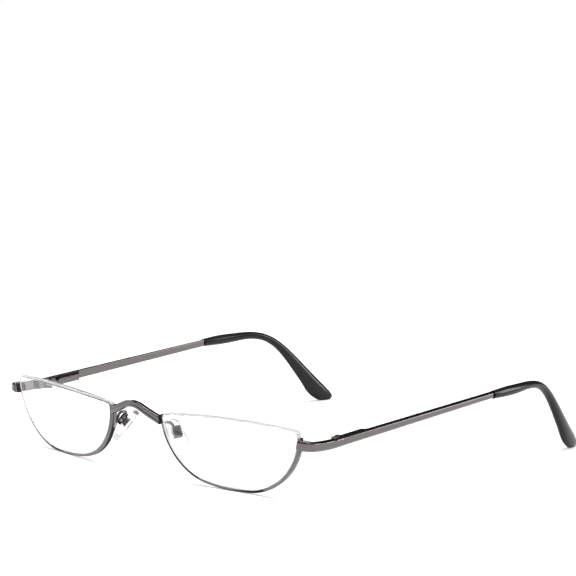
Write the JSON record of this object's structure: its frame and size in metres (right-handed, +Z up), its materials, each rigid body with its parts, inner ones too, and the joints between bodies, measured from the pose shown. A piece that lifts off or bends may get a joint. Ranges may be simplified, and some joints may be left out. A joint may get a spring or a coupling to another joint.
{
  "type": "half eye reading glasses",
  "caption": "Half-eye reading glasses: half-rim metal front with cord-held lenses, pads on arms, sprung hinges and bent black tips.",
  "frame": {"origin": "on the table under the middle of the open glasses, at the bottom centre of their box", "axes": "+X to the wearer's left, +Y from the front back to the temple tips, +Z up"},
  "size_m": [0.1312, 0.1508, 0.0263],
  "materials": {
    "gunmetal": "satin gunmetal plating",
    "screw_steel": "bright",
    "lens_glass": "clear, polished",
    "clear_nylon": "clear",
    "clear_pad": "clear, soft",
    "black_tip": "polished black"
  },
  "bodies": {
    "front": {"bridge": "gunmetal", "rim_left": "gunmetal", "rim_liner_left": "clear_nylon", "lens_left": "lens_glass", "lens_cord_left": "clear_nylon", "endpiece_left": "gunmetal", "pad_arm_left": "gunmetal", "pad_box_left": "gunmetal", "pad_screw_left": "screw_steel", "hinge_leaf_left": "gunmetal", "rim_right": "gunmetal", "rim_liner_right": "clear_nylon", "lens_right": "lens_glass", "lens_cord_right": "clear_nylon", "endpiece_right": "gunmetal", "pad_arm_right": "gunmetal", "pad_box_right": "gunmetal", "pad_screw_right": "screw_steel", "hinge_leaf_right": "gunmetal"},
    "nose_pad_left": {"nose_pad_left": "clear_pad", "pad_insert_left": "gunmetal"},
    "hinge_pin_left": {"hinge_screw_left": "screw_steel"},
    "slider_left": {"hinge_slider_left": "screw_steel", "slider_stop_left": "screw_steel"},
    "temple_left": {"temple_bar_left": "gunmetal", "temple_tip_left": "black_tip", "spring_housing_left": "gunmetal", "slider_bush_left": "screw_steel", "hinge_spring_left": "screw_steel"},
    "nose_pad_right": {"nose_pad_right": "clear_pad", "pad_insert_right": "gunmetal"},
    "hinge_pin_right": {"hinge_screw_right": "screw_steel"},
    "slider_right": {"hinge_slider_right": "screw_steel", "slider_stop_right": "screw_steel"},
    "temple_right": {"temple_bar_right": "gunmetal", "temple_tip_right": "black_tip", "spring_housing_right": "gunmetal", "slider_bush_right": "screw_steel", "hinge_spring_right": "screw_steel"}
  },
  "joints": [
    {"name": "fold_left", "type": "hinge", "parent": "front", "child": "hinge_pin_left", "pos_m": [0.06277, -0.05037, 0.0175], "axis": [0, 0, 1], "range_deg": [0, 90]},
    {"name": "flex_left", "type": "hinge", "parent": "hinge_pin_left", "child": "slider_left", "pos_m": [0.06277, -0.05037, 0.0175], "axis": [0, 0, 1], "range_deg": [-14, 0], "stiffness_Nm_per_rad": 0.5},
    {"name": "temple_slide_left", "type": "slide", "parent": "slider_left", "child": "temple_left", "axis": [-0.0139, 0.9957, 0.0917], "range_m": [0, 0.00067], "deforming": ["hinge_spring_left"]},
    {"name": "pad_rock_left", "type": "hinge", "parent": "front", "child": "nose_pad_left", "pos_m": [0.01268, -0.06651, 0.01479], "axis": [-0.4774, -0.8655, -0.1518], "range_deg": [-6, 6]},
    {"name": "fold_right", "type": "hinge", "parent": "front", "child": "hinge_pin_right", "pos_m": [-0.06277, -0.05037, 0.0175], "axis": [0, 0, -1], "range_deg": [0, 84]},
    {"name": "flex_right", "type": "hinge", "parent": "hinge_pin_right", "child": "slider_right", "pos_m": [-0.06277, -0.05037, 0.0175], "axis": [0, 0, -1], "range_deg": [-14, 0], "stiffness_Nm_per_rad": 0.5},
    {"name": "temple_slide_right", "type": "slide", "parent": "slider_right", "child": "temple_right", "axis": [0.0139, 0.9957, 0.0917], "range_m": [0, 0.00067], "deforming": ["hinge_spring_right"]},
    {"name": "pad_rock_right", "type": "hinge", "parent": "front", "child": "nose_pad_right", "pos_m": [-0.01268, -0.06651, 0.01479], "axis": [-0.4774, 0.8655, 0.1518], "range_deg": [-6, 6]}
  ],
  "couplings": [
    {"joint": "temple_slide_left", "follows": "flex_left", "m_per_rad": -0.00265},
    {"joint": "temple_slide_right", "follows": "flex_right", "m_per_rad": -0.00265}
  ]
}
